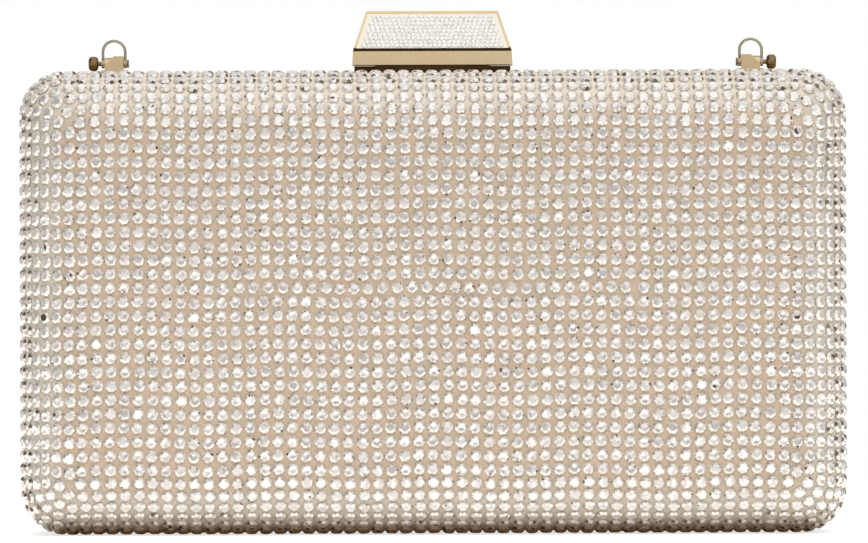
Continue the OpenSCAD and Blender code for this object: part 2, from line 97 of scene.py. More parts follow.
class Finish:
    # A material or a world, with its nodes

    def __init__(self, owner):
        owner.use_nodes = True
        self.owner, self.tree = owner, owner.node_tree
        self.tree.nodes.clear()

    def node(self, kind, settings=None, inputs=None, output=0):
        made = self.tree.nodes.new(kind)
        for key, value in (settings or {}).items():
            if key == "stops":
                stops = made.color_ramp.elements
                while len(stops) > 1:
                    stops.remove(stops[-1])
                for i, (place, colour) in enumerate(value):
                    stop = stops[0] if i == 0 else stops.new(place)
                    stop.position, stop.color = place, colour
            else:
                setattr(made, key, value)
        for key, value in (inputs or {}).items():
            if isinstance(value, Wire):
                self.tree.links.new(value.socket, made.inputs[key])
            else:
                made.inputs[key].default_value = value
        return Wire(self, made.outputs[output]) if made.outputs else None

    def maths(self, operation, *values):
        return self.node("ShaderNodeMath", {"operation": operation}, dict(enumerate(values)))

    def clamp(self, value):
        return self.node("ShaderNodeClamp", None, {"Value": value})

    def part(self, vector, axis):
        # One coordinate of a vector
        return self.node("ShaderNodeSeparateXYZ", None, {0: vector}, axis)

    def mix(self, amount, first, second):
        # A blend of two colours
        return self.node("ShaderNodeMix", {"data_type": "RGBA"}, {0: amount, 6: first, 7: second}, 2)

    def ramp(self, value, stops):
        return self.node("ShaderNodeValToRGB", {"stops": stops}, {0: value})

    def place(self):
        # The spot on the piece, in metres
        return self.node("ShaderNodeTexCoord", None, None, "Object")

    def facing(self):
        # The way that the surface faces, on the piece
        return self.node("ShaderNodeTexCoord", None, None, "Normal")

    def noise(self, scale, detail=2.0, roughness=0.5):
        sockets = {"Vector": self.place(), "Scale": scale, "Detail": detail, "Roughness": roughness}
        return self.node("ShaderNodeTexNoise", None, sockets, "Fac")

    def bands(self, direction, spacing, waver=0.0):
        # Bands at so many millimetres: at scale 1, a wave texture has one every tenth of pi
        sockets = {"Vector": self.place(), "Scale": math.pi / 10 / (spacing * mm), "Distortion": waver}
        return self.node("ShaderNodeTexWave", {"bands_direction": direction}, sockets, "Fac")

    def bump(self, height, strength, depth):
        # Relief that is so many millimetres deep
        sockets = {"Height": height, "Strength": strength, "Distance": depth * mm}
        return self.node("ShaderNodeBump", None, sockets)

    def surface(self, **sockets):
        # The material's shader: underscores in a name stand for spaces
        named = {key.replace("_", " "): value for key, value in sockets.items()}
        shader = self.node("ShaderNodeBsdfPrincipled", None, named)
        self.node("ShaderNodeOutputMaterial", None, {"Surface": shader})
        return self.owner


def newFinish(name):
    return Finish(bpy.data.materials.new(name))


def fromScreen(red, green, blue):
    # A colour as read off a screen, from 0 to 255, in the shader's own scale
    def channel(value):
        share = value / 255
        return share / 12.92 if share <= 0.04045 else ((share + 0.055) / 1.055) ** 2.4

    return (channel(red), channel(green), channel(blue), 1.0)


def greyStops(stops):
    # A ramp's stops from places and greys
    return [(place, (grey, grey, grey, 1)) for place, grey in stops]


def newPiece(name, points, faces, material, smooth=False):
    # A mesh piece from points in millimetres
    mesh = bpy.data.meshes.new(name)
    mesh.from_pydata([(p[0] * mm, p[1] * mm, p[2] * mm) for p in points], [], faces)
    mesh.materials.append(material)
    mesh.polygons.foreach_set("use_smooth", [smooth] * len(mesh.polygons))
    mesh.update()
    piece = bpy.data.objects.new(name, mesh)
    bpy.context.scene.collection.objects.link(piece)
    return piece


def dress(material, *nodes):
    # A carried-over node takes a material in all its slots
    for name in nodes:
        mesh = frame["nodes"][name].data
        if not mesh.materials:
            mesh.materials.append(material)
        for i in range(len(mesh.materials)):
            mesh.materials[i] = material


# Materials

paintedRollLightLook = {
    "from": 1.0,    # depth behind the flat face where the painted light on the rolled edges starts
    "over": 1.5,    # depth over which it comes up
}


def paintedRollLight(finish, colour, look):
    # A colour with its share of painted light: the tone that stones and mesh are given on the rolled edges,
    # for the light that falls there
    depth = finish.maths("ABSOLUTE", finish.part(finish.place(), "Y") / mm)
    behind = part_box("rear_crystal_cover")[1].y / mm - depth
    share = finish.clamp((behind - paintedRollLightLook["from"]) / paintedRollLightLook["over"])
    return finish.mix(share * look["paintedRollLight"], colour, look["paintedRollLightTone"])


stoneLook = {
    "bright": fromScreen(231, 228, 223),
    "warm": fromScreen(226, 220, 212),
    "grey": fromScreen(199, 194, 190),
    "dark": fromScreen(96, 84, 74),
    "darkShare": 0.05,    # painted dark reflections: share of the facets that face sideways, and fewer of the others
    "greyShare": 0.36,    # of all facets
    "patch": 0.3,         # facets that face more alike than this share a tone
    "apart": 50.0,        # how far apart the stones' tones are drawn
    "mirror": 0.7,        # how much of the light the foil behind a stone throws straight back
    "roughness": 0.13,
    # painted light: the stones' tone on the rolled edges
    "paintedRollLight": 0.62,
    "paintedRollLightTone": fromScreen(239, 236, 230),
}
rimLook = {
    **stoneLook,          # the facets at the stones' rims
    "bright": fromScreen(222, 211, 197),
    "warm": fromScreen(214, 199, 182),
    "grey": fromScreen(190, 177, 162),
    "mirror": 0.35,
    "roughness": 0.25,
    # painted light: the rims' tone on the rolled edges
    "paintedRollLight": 0.5,
    "paintedRollLightTone": fromScreen(214, 205, 193),
}
shadeLook = {
    **stoneLook,          # painted shade: facets of leaning stones made dark in their colour, for the shade that neighbouring stones cast
    "bright": fromScreen(112, 100, 88),
    "warm": fromScreen(128, 114, 98),
    "grey": fromScreen(88, 76, 64),
    "mirror": 0.5,
    "paintedRollLight": 0.0,
}
paveLook = {
    **stoneLook,
    "bright": fromScreen(229, 228, 225),
    "warm": fromScreen(226, 224, 220),
    "grey": fromScreen(218, 216, 212),
    "greyShare": 0.16,
    "darkShare": 0.01,
    "mirror": 0.36,
    "paintedRollLight": 0.0,
}


def crystalFinish(name, look):
    # Each facet draws its tone from its stone's own number and from the way it faces
    finish = newFinish(name)
    stoneLuck = finish.node("ShaderNodeNewGeometry", None, None, "Random Per Island")
    facing = finish.facing()
    patch = (look["patch"],) * 3
    snapped = finish.node("ShaderNodeVectorMath", {"operation": "SNAP"}, {0: facing, 1: patch})
    draw = {"Vector": snapped, "W": stoneLuck * look["apart"]}
    facet = finish.node("ShaderNodeTexWhiteNoise", {"noise_dimensions": "4D"}, draw)
    # Painted dark reflections: dark facets, more of them among those that face sideways
    aside = 1 - finish.maths("ABSOLUTE", finish.part(facing, "Y"))
    isGrey = finish.maths("LESS_THAN", facet, look["greyShare"])
    isPaintedDarkReflection = finish.maths("LESS_THAN", facet, aside * look["darkShare"])
    tone = finish.mix(stoneLuck, look["bright"], look["warm"])
    tone = paintedRollLight(finish, finish.mix(isGrey, tone, look["grey"]), look)
    return finish.surface(
        Base_Color=finish.mix(isPaintedDarkReflection, tone, look["dark"]),
        Metallic=look["mirror"],
        Roughness=look["roughness"],
    )


fabricLook = {
    "colour": fromScreen(199, 180, 157),
    "shade": fromScreen(168, 151, 130),
    "rosy": fromScreen(206, 173, 151),
    "olive": fromScreen(180, 170, 142),
    "thread": 0.32,       # spacing of the mesh's threads
    "weaveShare": 0.5,    # how much threads and patches lighten the shade
    "patchShare": 0.4,
    "tintShare": 0.35,    # how much of the colour is olive or rosy
    "patchScale": 220.0,
    "tintScale": 420.0,
    "oliveStop": 0.38,
    "rosyStop": 0.62,
    "roughness": 0.6,
    "mirror": 0.1,
    "bump": (0.5, 0.08),  # strength, and depth of the threads
    # painted light: the mesh's tone on the rolled edges
    "paintedRollLight": 0.75,
    "paintedRollLightTone": fromScreen(196, 188, 176),
}


def fabricFinish(look):
    finish = newFinish("stone_mesh_fabric")
    weave = finish.bands("X", look["thread"]) * finish.bands("Z", look["thread"])
    patch = finish.noise(look["patchScale"])
    tints = [(look["oliveStop"], look["olive"]), (look["rosyStop"], look["rosy"])]
    tint = finish.ramp(finish.noise(look["tintScale"], 1.0), tints)
    light = weave * look["weaveShare"] + patch * look["patchShare"]
    plain = finish.mix(light, look["shade"], look["colour"])
    return finish.surface(
        Base_Color=paintedRollLight(finish, finish.mix(look["tintShare"], plain, tint), look),
        Roughness=look["roughness"],
        Metallic=look["mirror"],
        Normal=finish.bump(weave, *look["bump"]),
    )


goldLook = {
    "colour": fromScreen(236, 212, 171),
    "dark": fromScreen(220, 193, 149),
    "roughness": 0.16,
    "patchScale": 90.0,         # of the patches between the two colours
    "patchRoughness": 0.08,     # what they add to the roughness
    "wearScale": 900.0,
    "wearStops": [(0.5, 0.0), (0.75, 1.0)],
    "wearRoughness": 0.06,
    "grainScale": 2600.0,
    "bump": (0.06, 0.01),       # strength, and depth of the grain
}
softGoldLook = {**goldLook, "roughness": 0.24}
claspLook = {
    **goldLook,
    # a lighter copy of the gold: painted light on the clasp
    "colour": fromScreen(243, 218, 176),
    "dark": fromScreen(229, 202, 158),
    "groove": fromScreen(70, 50, 32),
    "grooveLow": 2.85,    # heights of the painted shade in the groove, and on the strip's top below it, over the clasp's foot
    "grooveHigh": 3.68,
    "fade": 0.05,
    "roughness": 0.18,
}
shadedFrontLook = {
    **softGoldLook,
    # painted shade: the faces that look to the front are dark, for the shadow under the clasp's strip
    "front": fromScreen(78, 57, 37),
    "frontFrom": -0.7,    # what faces the front more than this gets the painted shade
}
plateLook = {
    **goldLook,
    "colour": fromScreen(250, 245, 232),
    "dark": fromScreen(243, 235, 216),
    "roughness": 0.12,
}
# the lug knobs: a darker copy of the gold, as painted dark reflection
knobLook = {**goldLook, "colour": fromScreen(168, 138, 98), "dark": fromScreen(104, 78, 50)}
wireLook = {**goldLook, "colour": fromScreen(198, 189, 166), "dark": fromScreen(160, 150, 128)}


def metalFinish(name, look):
    finish = newFinish(name)
    patch = finish.noise(look["patchScale"], 3.0)
    wear = finish.ramp(finish.noise(look["wearScale"], 4.0, 0.7), greyStops(look["wearStops"]))
    colour = finish.mix(patch, look["colour"], look["dark"])
    # Painted shade: a dark band at the clasp's groove, at set heights over its foot
    if "groove" in look:
        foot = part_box("clasp_body")[0].z / mm
        height = finish.part(finish.place(), "Z") / mm - foot
        over = finish.clamp((height - look["grooveLow"]) / look["fade"])
        under = finish.clamp((look["grooveHigh"] - height) / look["fade"])
        colour = finish.mix(over * under, colour, look["groove"])
    # Painted shade on the faces that look to the front
    if "front" in look:
        isShadedFront = finish.maths("LESS_THAN", finish.part(finish.facing(), "Y"), look["frontFrom"])
        colour = finish.mix(isShadedFront, colour, look["front"])
    rough = patch * look["patchRoughness"] + wear * look["wearRoughness"]
    return finish.surface(
        Base_Color=colour,
        Metallic=1.0,
        Roughness=rough + look["roughness"],
        Normal=finish.bump(finish.noise(look["grainScale"]), *look["bump"]),
    )


steelLook = {
    "grey": 0.62,
    "blue": 1.02,         # times the grey
    "dark": 0.8,          # the darker patches, times the grey
    "roughness": 0.25,
    "patchScale": 700.0,
    "patchRoughness": 0.15,
}
springLook = {**steelLook, "grey": 0.5, "roughness": 0.3}


def steelFinish(name, look):
    finish = newFinish(name)
    patch = finish.noise(look["patchScale"], 3.0)
    grey, dark = look["grey"], look["grey"] * look["dark"]
    return finish.surface(
        Base_Color=finish.mix(patch, (grey, grey, grey * look["blue"], 1), (dark, dark, dark, 1)),
        Metallic=1.0,
        Roughness=patch * look["patchRoughness"] + look["roughness"],
    )


satinLook = {
    "colour": fromScreen(206, 187, 160),
    "shade": fromScreen(186, 165, 136),
    "patchScale": 45.0,
    "thread": 0.25,       # spacing of the threads' lines, and how much they waver
    "waver": 1.5,
    "roughness": 0.4,
    "threadRoughness": 0.1,
    "sheen": 0.35,
    "sheenRoughness": 0.35,
    "bump": (0.25, 0.04),
}


def satinFinish(look):
    finish = newFinish("lining_satin")
    patch = finish.noise(look["patchScale"], 3.0)
    grain = finish.bands("DIAGONAL", look["thread"], look["waver"])
    return finish.surface(
        Base_Color=finish.mix(patch, look["colour"], look["shade"]),
        Roughness=grain * look["threadRoughness"] + look["roughness"],
        Sheen_Weight=look["sheen"],
        Sheen_Roughness=look["sheenRoughness"],
        Normal=finish.bump(grain, *look["bump"]),
    )


boardLook = {
    "colour": fromScreen(216, 204, 182),
    "dark": fromScreen(198, 184, 160),
    "patchScale": 300.0,
    "roughness": 0.5,
    "patchRoughness": 0.15,
    "bump": (0.2, 0.05),
}


def boardFinish(look):
    finish = newFinish("shell_board")
    patch = finish.noise(look["patchScale"], 4.0)
    return finish.surface(
        Base_Color=finish.mix(patch, look["colour"], look["dark"]),
        Roughness=patch * look["patchRoughness"] + look["roughness"],
        Normal=finish.bump(patch, *look["bump"]),
    )


stoneMaterial = crystalFinish("foiled_crystal", stoneLook)
rimMaterial = crystalFinish("crystal_rim", rimLook)
shadeMaterial = crystalFinish("crystal_shade", shadeLook)
paveMaterial = crystalFinish("fine_crystal", paveLook)
fabricMaterial = fabricFinish(fabricLook)
goldMaterial = metalFinish("pale_gold", goldLook)
softGoldMaterial = metalFinish("brushed_pale_gold", softGoldLook)
claspMaterial = metalFinish("clasp_gold", claspLook)
shadedFrontMaterial = metalFinish("gold_with_painted_shade_front", shadedFrontLook)
plateMaterial = metalFinish("white_gold", plateLook)
knobMaterial = metalFinish("gold_with_painted_dark_reflection", knobLook)
wireMaterial = metalFinish("grey_gold_wire", wireLook)
steelMaterial = steelFinish("plain_steel", steelLook)
springMaterial = steelFinish("spring_wire", springLook)
satinMaterial = satinFinish(satinLook)
boardMaterial = boardFinish(boardLook)
dress(boardMaterial, "rear_shell", "front_shell")
dress(
    softGoldMaterial,
    "rear_frame",
    "front_frame",
    "left_rear_hinge_leaf",
    "right_rear_hinge_leaf",
    "left_front_hinge_leaf",
    "right_front_hinge_leaf",
)
dress(claspMaterial, "clasp_body")
dress(shadedFrontMaterial, "clasp_bracket", "catch_plate", "latch_hook")
dress(goldMaterial, "left_chain_lug", "right_chain_lug")
dress(knobMaterial, "left_lug_pin", "right_lug_pin")
dress(wireMaterial, "left_chain_ring", "right_chain_ring")
dress(
    steelMaterial,
    "left_hinge_pin",
    "right_hinge_pin",
    "rear_hinge_rivets",
    "front_hinge_rivets",
    "bracket_screws",
    "catch_screws",
    "hook_screws",
    "clasp_pin",
)
dress(springMaterial, "clasp_spring")
dress(plateMaterial, "clasp_plate")
print("materials made")


# The covers' form, which the fabric, the stones and the linings share

cover = {
    "rollRadius": 14.0,       # from the flat face to the sides
    "cornerRadius": 9.5,      # of the outline, seen from the front
    "faceCornerRadius": 1.2,  # of the outline where the flat face starts
    "cornerShare": 0.62,      # how much smaller a corner gets as the outline moves in
    "lip": 2.0,               # depth of the metal lip at the mouth
}
coverLow, coverHigh = (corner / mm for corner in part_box("rear_crystal_cover"))
halfWidth, halfHeight = coverHigh.x, (coverHigh.z - coverLow.z) / 2
midHeight, faceDepth = (coverHigh.z + coverLow.z) / 2, coverHigh.y
rollDepth = faceDepth - cover["rollRadius"]
quarterRoll = cover["rollRadius"] * math.pi / 2
flatRun = halfHeight - cover["rollRadius"]


def cornerAt(inset):
    return max(cover["cornerRadius"] - cover["cornerShare"] * inset, cover["faceCornerRadius"])


def section(run, sunk):
    # Inset, depth and lean at a way past the roll's start, so far under the stones' tops
    roll = cover["rollRadius"]
    if run <= 0:
        return roll - run, faceDepth - sunk, 0.0
    if run < quarterRoll:
        lean = run / roll
        return roll - (roll - sunk) * math.sin(lean), rollDepth + (roll - sunk) * math.cos(lean), lean
    return sunk, rollDepth - (run - quarterRoll), math.pi / 2


def straightTo(run, sunk):
    # How far the straight stretches reach at a run: half along X, half along Z
    inset = section(run, sunk)[0]
    radius = cornerAt(inset)
    return halfWidth - inset - radius, halfHeight - inset - radius


def sideSpot(toX, toZ, along, run, sunk):
    # A spot and its facing on a straight stretch: toX or toZ says which, and along is its X or height
    inset, depth, lean = section(run, sunk)
    if toX:
        spot = Vector((toX * (halfWidth - inset), depth, along))
    else:
        spot = Vector((along, depth, midHeight + toZ * (halfHeight - inset)))
    return spot, Vector((toX * math.sin(lean), math.cos(lean), toZ * math.sin(lean)))


def cornerSpot(toX, toZ, turn, run, sunk):
    # The same in a corner, with a turn from 0 at the side to a quarter at the top or the bottom
    inset, depth, lean = section(run, sunk)
    radius = cornerAt(inset)
    share = cover["cornerShare"] if radius > cover["faceCornerRadius"] else 0.0
    spread = share + (1 - share) * (math.cos(turn) + math.sin(turn))
    reachX, reachZ = straightTo(run, sunk)
    outX, outZ = toX * math.cos(turn), toZ * math.sin(turn)
    spot = Vector((toX * reachX + radius * outX, depth, midHeight + (toZ * reachZ + radius * outZ)))
    facing = Vector((outX * math.sin(lean), spread * math.cos(lean), outZ * math.sin(lean)))
    return spot, facing.normalized()


def coverLoop(run, sunk, steps, top, bottom=(), sides=()):
    # Points round the cover at a run: corners of so many steps, and stops on the straight stretches
    corner = [math.pi / 2 * i / steps for i in range(steps + 1)]
    reach = straightTo(run, sunk)[0]
    loop = [cornerSpot(1, 1, turn, run, sunk)[0] for turn in corner]
    loop += [sideSpot(0, 1, max(-reach, min(reach, x)), run, sunk)[0] for x in top]
    loop += [cornerSpot(-1, 1, turn, run, sunk)[0] for turn in reversed(corner)]
    loop += [sideSpot(-1, 0, midHeight + z, run, sunk)[0] for z in sides]
    loop += [cornerSpot(-1, -1, turn, run, sunk)[0] for turn in corner]
    loop += [sideSpot(0, -1, x, run, sunk)[0] for x in reversed(bottom)]
    loop += [cornerSpot(1, -1, turn, run, sunk)[0] for turn in reversed(corner)]
    loop += [sideSpot(1, 0, midHeight + z, run, sunk)[0] for z in reversed(sides)]
    return loop


def bridge(faces, first, second, size):
    # Faces from one loop of points to the next
    for i in range(size):
        after = (i + 1) % size
        faces.append([first + i, first + after, second + after, second + i])


def mirrored(points, faces):
    # The same points and faces for the front half
    return [Vector((p.x, -p.y, p.z)) for p in points], [face[::-1] for face in faces]


# The stones' places, in rows round the middle line

laying = {
    "rows": 22,            # from the middle line to the mouth
    "middleColumns": 13,   # stones on half of the middle line
    "offsetRow": 1,        # the row above the middle that is laid half a stone aside
    "pastFlat": 0.5,       # a row this far past the flat face is still laid as on it
    "edge": 1.35,          # middle of the last row to the metal lip
    "seat": 0.99,          # depth of the stones' backs under the cover's size
    "stray": 0.09,
    "tilt": 2.4,           # in degrees
    "smallest": 0.95,      # of the stones' usual size
    "wander": 0.2,         # how far whole rows and columns swerve
    "wave": 26.0,          # length of the columns' wave
    "bend": 0.6,           # how much that wave itself bends
    "skew": 0.8,           # how many waves the rows have for one of the columns'
    "shift": 1.7,          # where the rows' wave starts
    "closest": 0.92,       # of the usual spacing, in the corners
    "pathSteps": 16,       # of the path that is measured round a corner
    "shadeLean": 52.0,     # stones that lean more than this may have a facet with painted shade, in degrees
    "shadeShare": 0.72,    # how many of them have it
    "shadeToward": (-1.0, 0.3),   # where it faces: away from the mouth, and up
    "shadeStray": 0.25,    # how much it faces aside
    "seeds": {"rear": 11, "front": 12},
}
rowStep = (flatRun + quarterRoll + rollDepth - cover["lip"] - laying["edge"]) / laying["rows"]
columnStep = (halfWidth - halfHeight) / laying["middleColumns"]


def evenly(path, gaps):
    # Spots at equal steps inside a path of spots and facings
    ways = [0.0]
    for (a, _), (b, _) in zip(path, path[1:]):
        ways.append(ways[-1] + (b - a).length)
    found = []
    for i in range(1, gaps):
        way = ways[-1] * i / gaps
        before = max(at for at in range(len(ways) - 1) if ways[at] <= way)
        share = (way - ways[before]) / (ways[before + 1] - ways[before])
        (a, facingA), (b, facingB) = path[before], path[before + 1]
        found.append((a.lerp(b, share), facingA.lerp(facingB, share).normalized()))
    return found


def flatRow(row, sunk):
    # A rectangle of stones on the flat face
    run = row * rowStep - flatRun
    last = laying["middleColumns"] + row
    spots = []
    for toZ in (1, -1) if row else (1,):
        if toZ * row == laying["offsetRow"]:
            # Its ends lie a quarter of a step inside the ends of the rows beside it
            step = columnStep * (last - 0.25) / (last - 0.5)
            spots += [sideSpot(0, toZ, (i + 0.5) * step, run, sunk) for i in range(-last, last)]
        else:
            spots += [sideSpot(0, toZ, i * columnStep, run, sunk) for i in range(-last, last + 1)]
    for toX in (1, -1):
        spots += [sideSpot(toX, 0, midHeight + i * rowStep, run, sunk) for i in range(1 - row, row)]
    return spots


def cornerPath(toX, toZ, lastColumn, lastRow, run, sunk):
    # From the last column on the top or bottom, round the corner, to the last row on the side
    steps = laying["pathSteps"]
    turns = [math.pi / 2 * (1 - i / steps) for i in range(steps + 1)]
    path = [sideSpot(0, toZ, toX * lastColumn * columnStep, run, sunk)]
    path += [cornerSpot(toX, toZ, turn, run, sunk) for turn in turns]
    path.append(sideSpot(toX, 0, midHeight + toZ * lastRow * rowStep, run, sunk))
    return path


def rollRow(row, sunk):
    # A row round the roll or the sides: straight stretches, and as many stones as fit round each corner
    run = row * rowStep - flatRun
    reachX, reachZ = straightTo(run, sunk)
    best = None
    for back in range(3):   # the straight stretches may end up to two stones early
        lastColumn, lastRow = int(reachX / columnStep) - back, int(reachZ / rowStep) - back
        path = cornerPath(1, 1, lastColumn, lastRow, run, sunk)
        length = sum((b[0] - a[0]).length for a, b in zip(path, path[1:]))
        gaps = max(int(length / (laying["closest"] * columnStep)), 1)
        if best is None or length / gaps < best[0]:
            best = (length / gaps, gaps, lastColumn, lastRow)
    _, gaps, lastColumn, lastRow = best
    columns, rows = range(-lastColumn, lastColumn + 1), range(-lastRow, lastRow + 1)
    spots = []
    for toZ in (1, -1):
        spots += [sideSpot(0, toZ, i * columnStep, run, sunk) for i in columns]
    for toX in (1, -1):
        spots += [sideSpot(toX, 0, midHeight + i * rowStep, run, sunk) for i in rows]
        for toZ in (1, -1):
            spots += evenly(cornerPath(toX, toZ, lastColumn, lastRow, run, sunk), gaps)
    return spots


def stonePlaces():
    places = []
    for row in range(laying["rows"] + 1):
        onFlat = row * rowStep < flatRun + laying["pastFlat"]
        places += (flatRow if onFlat else rollRow)(row, laying["seat"])
    return places


# One faceted stone, as points and faces about its back

def brilliant(shape):
    # A table of eight parts, stars, kites, sixteen lower facets and a low cone that the fabric hides
    radius, height = shape["radius"], shape["height"]
    rings = [   # share of the radius, height, number of points, and their turn in steps
        (shape["table"], height, 8, 0.5),
        (shape["middle"], height * shape["middleHeight"], 8, 0.0),
        (1.0, height * shape["girdle"], 16, 0.0),
    ]
    points, starts = [Vector((0, 0, height * (1 - shape["dish"])))], []
    for share, level, count, shift in rings:
        starts.append(len(points))
        for i in range(count):
            angle = 2 * math.pi * (i + shift) / count
            x, y = radius * share * math.cos(angle), radius * share * math.sin(angle)
            points.append(Vector((x, y, level)))
    points.append(Vector((0, 0, 0)))
    table, middle, girdle = starts
    faces = []
    for i in range(8):
        after, before = (i + 1) % 8, (i - 1) % 8
        edge = [girdle + (2 * i + step) % 16 for step in range(3)]
        faces.append([0, table + before, table + i])
        faces.append([table + before, middle + i, table + i])
        faces.append([table + i, middle + i, edge[1], middle + after])
        faces.append([middle + i, edge[0], edge[1]])
        faces.append([middle + after, edge[1], edge[2]])
        faces.append([edge[1], edge[0], len(points) - 1])
        faces.append([edge[2], edge[1], len(points) - 1])
    return points, faces


facetLooks = {   # materials of an eighth's table, star, kite, two lower facets and its part of the cone
    "light": [0, 0, 0, 1, 1, 1, 1],
    # the dark eighth has painted shade on its kite and lower facets
    "dark": [0, 0, 2, 2, 2, 1, 1],
}


def swerve(spot, facing, manner):
    # A slow wave along the surface, so that rows run as if set by hand
    turn = 2 * math.pi / manner["wave"]
    aside = math.sin(turn * spot.z + manner["bend"] * math.cos(turn * spot.x))
    up = math.sin(turn * manner["skew"] * spot.x + manner["shift"])
    push = Vector((aside, 0, up))
    return (push - facing * push.dot(facing)) * manner["wander"]


def paintedShadeEighth(turned, manner, luck, toFront):
    # The eighth of a leaning stone that gets painted shade, facing away from the mouth and up, or None
    out, up = manner["shadeToward"]
    lean = math.acos(min(abs(turned.col[2].normalized().y), 1.0))
    if lean < math.radians(manner["shadeLean"]) or luck.random() > manner["shadeShare"]:
        return None
    toward = Vector((luck.gauss(0, manner["shadeStray"]), out if toFront else -out, up))
    toward = turned.inverted() @ toward
    return int(math.atan2(toward.y, toward.x) / (2 * math.pi) * 8) % 8


def setStones(name, places, shape, materials, manner, seed, toFront=False):
    # Many stones as one piece, each a little astray: materials for the inside, the rim and facets with
    # painted shade
    luck = random.Random(seed)
    shapePoints, shapeFaces = brilliant(shape)
    stray, tilt = manner["stray"], math.radians(manner["tilt"])
    points, faces, looks = [], [], []
    for spot, facing in places:
        if toFront:
            spot, facing = Vector((spot.x, -spot.y, spot.z)), Vector((facing.x, -facing.y, facing.z))
        turned = facing.to_track_quat("Z", "Y").to_matrix()
        for axis in ("X", "Y"):
            turned = turned @ Matrix.Rotation(luck.gauss(0, tilt), 3, axis)
        turned = turned @ Matrix.Rotation(luck.uniform(0, math.pi), 3, "Z")
        turned = turned * luck.uniform(manner["smallest"], 1.0)
        moved = spot + turned @ Vector((luck.uniform(-stray, stray), luck.uniform(-stray, stray), 0))
        moved += swerve(spot, facing, manner)
        start = len(points)
        points += [moved + turned @ point for point in shapePoints]
        faces += [[start + i for i in face] for face in shapeFaces]
        dark = paintedShadeEighth(turned, manner, luck, toFront)
        for eighth in range(8):
            looks += facetLooks["dark" if eighth == dark else "light"]
    piece = newPiece(name, points, faces, materials[0])
    for material in materials[1:]:
        piece.data.materials.append(material)
    piece.data.polygons.foreach_set("material_index", looks)
    return piece


stone = {
    "radius": 1.4,
    "height": 0.88,
    "table": 0.58,        # shares of the radius
    "middle": 0.82,
    "middleHeight": 0.8,  # shares of the height
    "girdle": 0.38,
    "dish": 0.05,         # how far the table's middle is cut in
}

notches = {
    "rear": (16.95, 7.45),       # half width and depth of the room under the clasp
    "front": (12.25, 6.4),
    "lug": (68.15, 3.05, 3.45),  # middle, half width and depth of the room for a chain lug
    "clear": 1.25,               # a stone's middle stays so far off
}


def clearOfNotches(spot, side):
    # Whether a stone has room beside the clasp and the lugs
    clear = notches["clear"]
    if spot.z < midHeight + halfHeight - cover["lip"]:
        return True
    half, depth = notches[side]
    if abs(spot.x) < half + clear and spot.y < depth + clear:
        return False
    middle, half, depth = notches["lug"]
    return side == "front" or abs(abs(spot.x) - middle) > half + clear or spot.y > depth + clear


allPlaces = stonePlaces()
print("stones in one half:", len(allPlaces))
coverMaterials = (stoneMaterial, rimMaterial, shadeMaterial)
for side, seed in laying["seeds"].items():
    places = [p for p in allPlaces if clearOfNotches(p[0], side)]
    stones = setStones(side + "_stones", places, stone, coverMaterials, laying, seed, side == "front")
    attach(stones, side + "_half")
print("stones set")


# The fabric under the stones

fabric = {
    "sunk": 0.72,       # its outer face under the cover's size
    "thickness": 0.6,
    "rollSteps": 14,
    "cornerSteps": 10,
}


def fabricSkin(side):
    half, depth = notches[side]
    lugMiddle, lugHalf, lugDepth = notches["lug"]
    stops = [lugMiddle + lugHalf, lugMiddle - lugHalf, half]
    stops += [-x for x in reversed(stops)]
    runs = [-flatRun / 2]
    runs += [quarterRoll * i / fabric["rollSteps"] for i in range(fabric["rollSteps"] + 1)]
    runs += [quarterRoll + rollDepth - y for y in (depth, lugDepth, cover["lip"])]
    points = []
    for run in runs:
        points += coverLoop(run, fabric["sunk"], fabric["cornerSteps"], stops)
    size = len(points) // len(runs)
    faces = [list(range(size))[::-1]]
    for ring in range(len(runs) - 1):
        for i in range(size):
            a, b = ring * size + i, ring * size + (i + 1) % size
            middle = (points[a] + points[b] + points[a + size] + points[b + size]) / 4
            onTop = middle.z > midHeight + halfHeight - cover["lip"]
            underClasp = abs(middle.x) < half and middle.y < depth
            atLug = side == "rear" and abs(abs(middle.x) - lugMiddle) < lugHalf and middle.y < lugDepth
            if not (onTop and (underClasp or atLug)):
                faces.append([a, b, b + size, a + size])
    if side == "front":
        points, faces = mirrored(points, faces)
    skin = newPiece(side + "_cover_fabric", points, faces, fabricMaterial, True)
    solid = skin.modifiers.new("thickness", "SOLIDIFY")
    solid.thickness, solid.offset = fabric["thickness"] * mm, -1
    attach(skin, side + "_half")
    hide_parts(side + "_crystal_cover")


for side in ("rear", "front"):
    fabricSkin(side)
print("fabric laid")


# Padded satin linings, puffed as cloth under pressure

lining = {
    "back": 3.25,       # its outer face on the shell, under the cover's size
    "inside": 5.9,      # its inner face on the roll and the sides
    "seam": 4.7,        # the channel sewn round the face
    "face": 5.1,        # the face before it is puffed
    "seamRun": -1.5,    # where the channel lies, before the roll's start
    "bank": [(-0.6, 5.35), (0.6, 5.8)],    # from the channel up to the roll: runs, and how far under
    "rollSteps": 7,
    "sideStops": (8.0, 4.5, 1.3),          # depths from the mouth of the loops on the sides
    "mouth": 0.7,
    "brim": 5.65,       # its inner face at the mouth
    "behindFlange": 5.15,
    "flangeEnd": 7.25,  # depth from the mouth where the frame's flange ends
    "bend": 0.1,        # what a sharp bend takes
    "cell": 3.6,        # size of the cloth's cells
    "cornerSteps": 6,
    "quality": 8,       # of the cloth simulation
    "mass": 0.15,
    "pressure": 4.0,
    "frames": 20,
    "swell": 0.8,       # the most that the face may rise
    "fill": 0.35,
}


